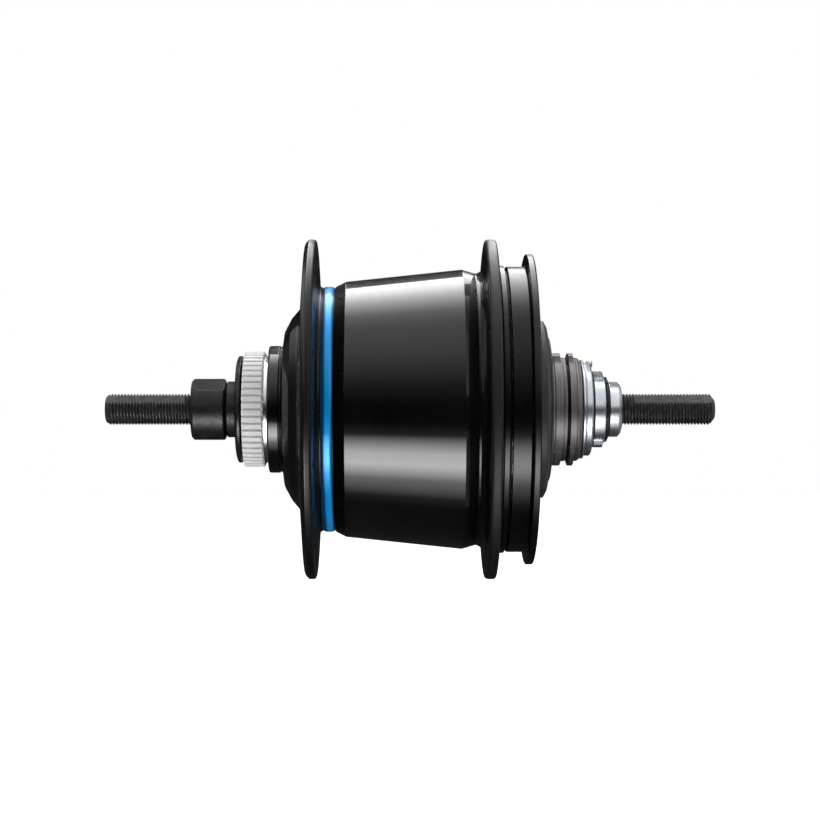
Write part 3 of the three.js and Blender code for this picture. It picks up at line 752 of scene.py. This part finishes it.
def make_driver():
    def limit(x, angle, radius):
        first = LUG_1[0] + STEP < x < LUG_1[1] - STEP / 2
        second = LUG_2[0] < x < LUG_2[1] - STEP / 2
        if radius < GROOVE_RADIUS + 0.05 or x < LUG_1[0] + STEP or x > LUG_2[1] + 0.3:
            return radius
        in_groove = (SNAP_RING_GROOVE[0] < x < SNAP_RING_GROOVE[1]
                     or LUG_1_GROOVE[0] < x < LUG_1_GROOVE[1])
        base = GROOVE_RADIUS if in_groove else DRIVER_RADIUS
        if not (first or second):
            return min(radius, base)
        off = min(angle_between(angle, centre) for centre in LUG_CENTRES) - LUG_HALF
        rise = clamped(-off / LUG_FLANK)
        top = LUG_RADIUS
        if second and x <= LUG_2[0] + LUG_2_RAMP:
            top = base + (LUG_RADIUS - base) * (x - LUG_2[0]) / LUG_2_RAMP
        return min(radius, base + (top - base) * rise)

    profile = [
        (4, 31.4, 0.1), (4, 32.9, 0.1), (27.5, 32.9, 0.1), (28.7, 33.5, 1.0), (29.9, 36.4, 0.5),
        (32.2, 36.4, 0.4), (32.2, 19, 0.5), (38, 19, 0.2), (38, 17.5, 0.1), (42.97, 17.5, 0.1),
        (43.03, LUG_RADIUS, 0), (43.56, LUG_RADIUS, 0), (43.58, LUG_RADIUS, 0),
        (43.82, LUG_RADIUS, 0), (43.84, LUG_RADIUS, 0), (LUG_1[1] - STEP, LUG_RADIUS, 0.1),
        (LUG_1[1], DRIVER_RADIUS, 0.05),
        (46.1, DRIVER_RADIUS, 0), (46.2, 15.7, 0), (46.4, 15.7, 0), (46.5, DRIVER_RADIUS, 0),
        (SNAP_RING_GROOVE[0] - STEP, DRIVER_RADIUS, 0.05), (SNAP_RING_GROOVE[0], GROOVE_RADIUS, 0),
        (LUG_2[0], LUG_RADIUS, 0), (SNAP_RING_GROOVE[1] - STEP, LUG_RADIUS, 0),
        (SNAP_RING_GROOVE[1] + STEP, LUG_RADIUS, 0), (LUG_2[1] - STEP, LUG_RADIUS, 0.1),
        (LUG_2[1], DRIVER_RADIUS, 0.05), (50.05, DRIVER_RADIUS, 0),
        (50.15, 15.7, 0), (50.3, 15.7, 0), (50.4, 15.9, 0), (51.1, 15.85, 0.1), (51.25, 15.55, 0.1),
        (51.6, 15.5, 0.2), (51.95, 15.1, 0.2), (51.95, 13.6, 0.2), (50.6, 13.35, 0.1),
        (48.5, 13.3, 0.5), (46.9, 12.7, 0.5), (45.6, 10.6, 0.3), (44.6, 10.6, 0.1),
        (44.6, 12, 0.1), (28.9, 12, 0.1), (28.9, 29.9, 0.3), (12.3, 29.9, 0.1), (12.3, 31.4, 0.1),
    ]
    stands_for(turned("driver_body", profile, limit, DRIVER_ROUND), "driver")


def make_seal_plates():
    outer = [
        (38.3, 17.8, 0.1), (38.3, 26.9, 0.2), (38.6, 27.2, 0.25), (40.7, 27.2, 0.5),
        (41.5, 25.6, 0.5), (41.7, 24.5, 0.3), (41.7, 17.8, 0.1),
    ]
    inner = [
        (42.0, 17.8, 0.1), (42.0, 22.1, 0.15), (42.5, 22.1, 0.2), (42.8, 20.2, 0.4),
        (42.9, 18.6, 0.1), (42.9, 17.8, 0.1),
    ]
    stands_for(turned("outer_seal_plate_body", outer), "outer_seal_plate")
    stands_for(turned("inner_seal_plate_body", inner), "inner_seal_plate")


# ---- silver parts on the right ------------------------------------------------------------

def make_spring_plate():
    profile = [
        (53.7, 8.2, 0.1), (53.7, 12.8, 0.2), (52.15, 13.4, 0.2), (52.15, 14.95, 0.1),
        (52.35, 15.15, 0.1), (52.85, 15.15, 0.1), (53.0, 14.2, 0.05), (53.35, 13.9, 0.05),
        (53.5, 14.25, 0.1), (54.9, 14.25, 0.25), (55.3, 13.6, 0.25), (55.3, 8.2, 0.1),
    ]
    stands_for(turned("spring_plate_body", profile), "spring_plate")
    hook = block("spring_plate_hook", (54.2, 56.0), (-1.5, 1.5), (12.8, 14.9), 0.45)
    goes_with(hook, "axle_assembly", "zinc_plate")


def block(name, span_x, span_y, span_z, bevel):
    """A block with rounded edges."""
    mesh = bmesh.new()
    spans = (span_x, span_y, span_z)
    bmesh.ops.create_cube(mesh, size=1)
    for vertex in mesh.verts:
        vertex.co = Vector([(a + b) / 2 + c * (b - a) for (a, b), c in zip(spans, vertex.co)]) * MM
    bmesh.ops.bevel(mesh, geom=mesh.edges[:], offset=bevel * MM, segments=4, profile=0.5,
                    affect="EDGES")
    piece = add_mesh(name, [], [])
    mesh.to_mesh(piece.data)
    mesh.free()
    return shade(piece)


TAB_CENTRES = (math.radians(90), math.radians(270))
TAB_HALF = math.radians(24)
TAB_FLANK = math.radians(1.5)
TAB_HEIGHT = 1.1
TAB_END = 58.9
COLLAR_RADIUS = 10.6
LEG_HALF = math.radians(11)
LEG_STEPS = 10


def make_shift_sleeve():
    def limit(x, angle, radius):
        if radius < COLLAR_RADIUS or x > TAB_END:
            return radius
        off = min(angle_between(angle, tab) for tab in TAB_CENTRES)
        rise = clamped((TAB_HALF - off) / TAB_FLANK)
        return min(radius, COLLAR_RADIUS + TAB_HEIGHT * rise)

    tab_radius = COLLAR_RADIUS + TAB_HEIGHT
    collar = [
        (56.15, 5.6, 0.1), (56.15, tab_radius, 0.15), (TAB_END - STEP, tab_radius, 0.15),
        (TAB_END, COLLAR_RADIUS, 0.1), (59.2, COLLAR_RADIUS, 0.1), (59.4, 10.3, 0.1),
        (59.4, 5.6, 0.1),
    ]
    tube = [(-10.8, 5.6, 0.1), (-10.8, 6.6, 0.1), (44.6, 6.6, 0.1), (44.6, 5.6, 0.1)]
    stands_for(turned("shift_collar", collar, limit), "shift_sleeve")
    goes_with(turned("shift_tube", tube, segments=96), "shift_sleeve", "zinc_plate")
    for i, tab in enumerate(TAB_CENTRES):
        leg = sector_bar(f"shift_leg_{i + 1}", (44.0, 56.5), (5.6, 6.6), tab, LEG_HALF)
        goes_with(leg, "shift_sleeve", "zinc_plate")


def sector_bar(name, span, radii, centre, half):
    """A bar whose section is a sector of a ring."""
    inner, outer = radii
    turns = [2 * half * i / LEG_STEPS for i in range(LEG_STEPS + 1)]
    section = [(outer, centre - half + turn) for turn in turns]
    section += [(inner, centre + half - turn) for turn in turns]
    count = len(section)
    points = [(x, r * math.cos(a), r * math.sin(a)) for x in span for r, a in section]
    faces = [(i, (i + 1) % count, count + (i + 1) % count, count + i) for i in range(count)]
    faces.append(tuple(reversed(range(count))))
    faces.append(tuple(range(count, 2 * count)))
    return shade(outward(add_mesh(name, points, faces)))


NOTCHES = 20
NOTCH_WIDTH = 0.28             # as a share of the spacing
NOTCH_RADIUS = 9.6


def make_lock_washer():
    def limit(x, angle, radius):
        share = (angle * NOTCHES / (2 * math.pi)) % 1
        return min(radius, NOTCH_RADIUS) if share < NOTCH_WIDTH else radius

    profile = [
        (59.6, 5.05, 0.1), (59.6, 9.8, 0.15), (59.85, 10.0, 0.1), (60.25, 10.0, 0),
        (60.3, 9.3, 0.1), (60.6, 9.2, 0.1), (60.6, 5.05, 0.1),
    ]
    stands_for(turned("lock_washer_body", profile, limit), "lock_washer")


def make_right_locknut():
    profile = [
        (60.7, 5.05, 0.1), (60.7, 8.25, 0.15), (60.95, 8.45, 0.15), (63.6, 8.45, 0.2),
        (64.5, 7.4, 0.6), (64.8, 6.3, 0.3), (64.8, 5.05, 0.2),
    ]
    stands_for(turned("right_locknut_body", profile), "right_locknut")


# ---- floor and light ----------------------------------------------------------------------

FLOOR_Z = -0.26
FLOOR_SIZE = 12.0
# Light of the studio by its direction round the axle: 0 is towards the camera, 90 straight up,
# 180 straight behind the hub, and negative angles are below: (angle, strength).
SOFTBOXES = [
    (-180, 0.03), (-150, 0.03), (-90, 0.05), (-80, 0.25), (-62, 3.5), (-48, 14.0), (-38, 12.0),
    (-22, 0.35), (-12, 0.02), (4, 0.02), (20, 0.20), (35, 0.65), (50, 1.15), (78, 1.6), (90, 2.4),
    (103, 5.2), (120, 8.4), (146, 7.6), (152, 6.5), (157, 0.04), (180, 0.03),
]
# What the ends of the hub see of the room, by the sine of the elevation: (sine, strength).
ROOM = [
    (-1.0, 0.05), (0.0, 0.04), (0.14, 0.05), (0.22, 0.10), (0.30, 0.22), (0.34, 0.38),
    (0.39, 0.80), (0.50, 1.20), (1.0, 0.60),
]
# Walls facing the ends of the axle, by the sine of the angle towards the drive side.
WALLS = [(-1.0, 0.12), (-0.97, 0.04), (-0.6, 0.0), (0.5, 0.0), (0.8, 0.30), (1.0, 0.40)]
STUDIO_PEAK = 14.0
# Curved cards round the axle: name, span in the angles above, ends along the axle, and the
# strength of their own light. The black ones keep the overhead light off the top edge of the
# barrel and off the tops of the small parts, and the others fill the fronts of the small parts.
CARDS = [
    ("black_card_left", (95, 160), (-130, -53), 0.0),
    ("black_card_shoulder", (112, 165), (-53, -44), 0.0),
    ("black_card_barrel", (124, 165), (-34, 26), 0.0),
    ("black_card_right", (98, 162), (52, 130), 0.0),
    ("white_card_left", (14, 60), (-130, -56), 0.9),
    ("white_card_right", (10, 60), (52, 130), 1.1),
    ("grey_card_right", (-80, -16), (69, 130), 0.5),
]
CARD_DISTANCE = 150
CARD_STEPS = 12
SOFTBOX_REACH = (0.24, 0.42)   # where the softboxes end, as the sine of the angle along the axle


def make_floor():
    half = FLOOR_SIZE / 2
    z = FLOOR_Z / MM
    corners = [(x * half / MM, y * half / MM, z) for x, y in ((-1, -1), (1, -1), (1, 1), (-1, 1))]
    floor = add_mesh("floor", corners, [(0, 1, 2, 3)])
    finish = Finish("floor_paint", (0.9, 0.9, 0.9), 0.9)
    finish.vary_color(finish.noise(3, 2), (0.89, 0.89, 0.89), (0.91, 0.91, 0.91))
    floor.data.materials.append(finish.material)
    floor.visible_glossy = False


def make_card(name, span, ends, strength):
    points = []
    for i in range(CARD_STEPS + 1):
        angle = math.radians(span[0] + (span[1] - span[0]) * i / CARD_STEPS)
        for x in ends:
            points.append((x, -CARD_DISTANCE * math.cos(angle), CARD_DISTANCE * math.sin(angle)))
    faces = [(2 * i, 2 * i + 1, 2 * i + 3, 2 * i + 2) for i in range(CARD_STEPS)]
    card = add_mesh(name, points, faces)
    finish = Finish(name + "_felt", (0.003, 0.003, 0.003), 0.9, Specular_IOR_Level=0.0)
    finish.vary_color(finish.noise(200, 3), (0.002, 0.002, 0.002), (0.004, 0.004, 0.004))
    finish.shader.inputs["Emission Color"].default_value = (1, 1, 1, 1)
    finish.shader.inputs["Emission Strength"].default_value = strength
    card.data.materials.append(finish.material)
    card.visible_camera = False
    card.visible_shadow = False


def light_curve(graph, value, low, high, table):
    """A curve node over a value between low and high, holding a table of strengths."""
    curve = graph.nodes.new("ShaderNodeFloatCurve")
    points = curve.mapping.curves[0].points
    while len(points) < len(table):
        points.new(0.5, 0.5)
    for point, (place, strength) in zip(points, table):
        point.location = ((place - low) / (high - low), strength / STUDIO_PEAK)
        point.handle_type = "VECTOR"
    curve.mapping.update()
    graph.links.new(graph.span(value, 0, 1, low, high), curve.inputs["Value"])
    return curve.outputs[0]


def make_studio():
    world = bpy.data.worlds.new("studio")
    bpy.context.scene.world = world
    world.use_nodes = True
    graph = Graph(world.node_tree)
    nodes = graph.nodes
    links = graph.links
    nodes.clear()

    x, y, z = graph.split(nodes.new("ShaderNodeTexCoord").outputs["Generated"])
    turn = graph.math("ARCTAN2", z, graph.math("MULTIPLY", y, -1))
    softboxes = light_curve(graph, graph.math("DEGREES", turn), -180, 180, SOFTBOXES)
    room = light_curve(graph, z, -1, 1, ROOM)
    walls = light_curve(graph, x, -1, 1, WALLS)
    past_softboxes = graph.span(graph.math("ABSOLUTE", x), 0, 1, *SOFTBOX_REACH, "SMOOTHSTEP")
    blend = nodes.new("ShaderNodeMix")
    links.new(past_softboxes, blend.inputs["Factor"])
    links.new(softboxes, blend.inputs["A"])
    links.new(graph.math("ADD", room, walls), blend.inputs["B"])
    strength = graph.math("MULTIPLY", blend.outputs["Result"], STUDIO_PEAK)

    soft = nodes.new("ShaderNodeBackground")
    links.new(strength, soft.inputs["Strength"])
    white = nodes.new("ShaderNodeBackground")
    white.inputs["Color"].default_value = (1, 1, 1, 1)
    path = nodes.new("ShaderNodeLightPath")
    mix = nodes.new("ShaderNodeMixShader")
    links.new(path.outputs["Is Camera Ray"], mix.inputs[0])
    links.new(soft.outputs[0], mix.inputs[1])
    links.new(white.outputs[0], mix.inputs[2])
    out = nodes.new("ShaderNodeOutputWorld")
    links.new(mix.outputs[0], out.inputs["Surface"])


make_camera()
dress_cad_nodes()
make_axle()
make_left_locknut()
make_left_cone()
make_left_dust_cap()
make_rotor_mount()
make_hub_shell()
make_trim_ring()
make_right_dust_cap()
make_driver()
make_seal_plates()
make_spring_plate()
make_shift_sleeve()
make_lock_washer()
make_right_locknut()
make_floor()
for card in CARDS:
    make_card(*card)
make_studio()
bpy.context.scene.view_settings.view_transform = "Standard"
